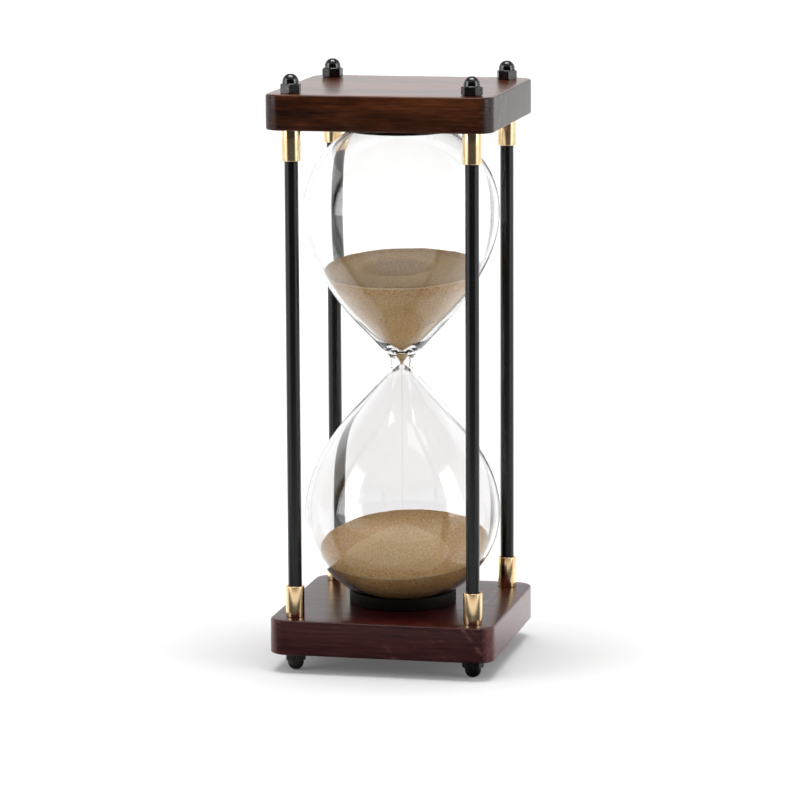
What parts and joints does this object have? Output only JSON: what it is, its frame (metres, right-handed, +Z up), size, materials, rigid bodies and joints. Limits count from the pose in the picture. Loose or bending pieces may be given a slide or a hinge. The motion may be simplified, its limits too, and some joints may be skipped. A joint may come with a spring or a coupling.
{
  "type": "hourglass",
  "caption": "Standing sand timer: a blown glass double bulb with sand, held between square stained wood plates by black posts with brass ferrules and acorn nuts.",
  "frame": {"origin": "on the surface it stands on, under the middle of the plates", "axes": "+Z up along the glass, +X to the right and +Y to the back, square to the plates' sides"},
  "size_m": [0.097, 0.097, 0.254],
  "materials": {
    "stained_wood": "dark mahogany stain under a satin to semi-gloss lacquer",
    "seat_wood": "near-black stained wood, satin",
    "seat_rubber": "black rubber sheet",
    "black_steel": "satin black coating on round steel bar",
    "brass": "polished brass",
    "black_nickel": "black nickel plating, polished dome and satin hexagon",
    "clear_glass": "clear blown glass",
    "stopper_rubber": "tan rubber",
    "sand": "fine dry khaki sand, matte"
  },
  "bodies": {
    "frame": {"bottom_plate": "stained_wood", "top_plate": "stained_wood", "post_front_left": "black_steel", "lower_ferrule_front_left": "brass", "upper_ferrule_front_left": "brass", "foot_nut_front_left": "black_nickel", "top_nut_front_left": "black_nickel", "post_front_right": "black_steel", "lower_ferrule_front_right": "brass", "upper_ferrule_front_right": "brass", "foot_nut_front_right": "black_nickel", "top_nut_front_right": "black_nickel", "post_back_left": "black_steel", "lower_ferrule_back_left": "brass", "upper_ferrule_back_left": "brass", "foot_nut_back_left": "black_nickel", "top_nut_back_left": "black_nickel", "post_back_right": "black_steel", "lower_ferrule_back_right": "brass", "upper_ferrule_back_right": "brass", "foot_nut_back_right": "black_nickel", "top_nut_back_right": "black_nickel", "lower_seat_ring": "seat_wood", "upper_seat_ring": "seat_wood", "lower_rubber_disc": "seat_rubber", "upper_rubber_disc": "seat_rubber"},
    "bulb": {"glass_bulb": "clear_glass", "fill_stopper": "stopper_rubber", "sand_lower": "sand", "sand_upper": "sand", "sand_stream": "sand"}
  },
  "joints": [
    {"name": "glass_turn", "type": "hinge", "parent": "frame", "child": "bulb", "pos_m": [0, 0, 0.127], "axis": [0, 0, 1], "continuous": true}
  ]
}
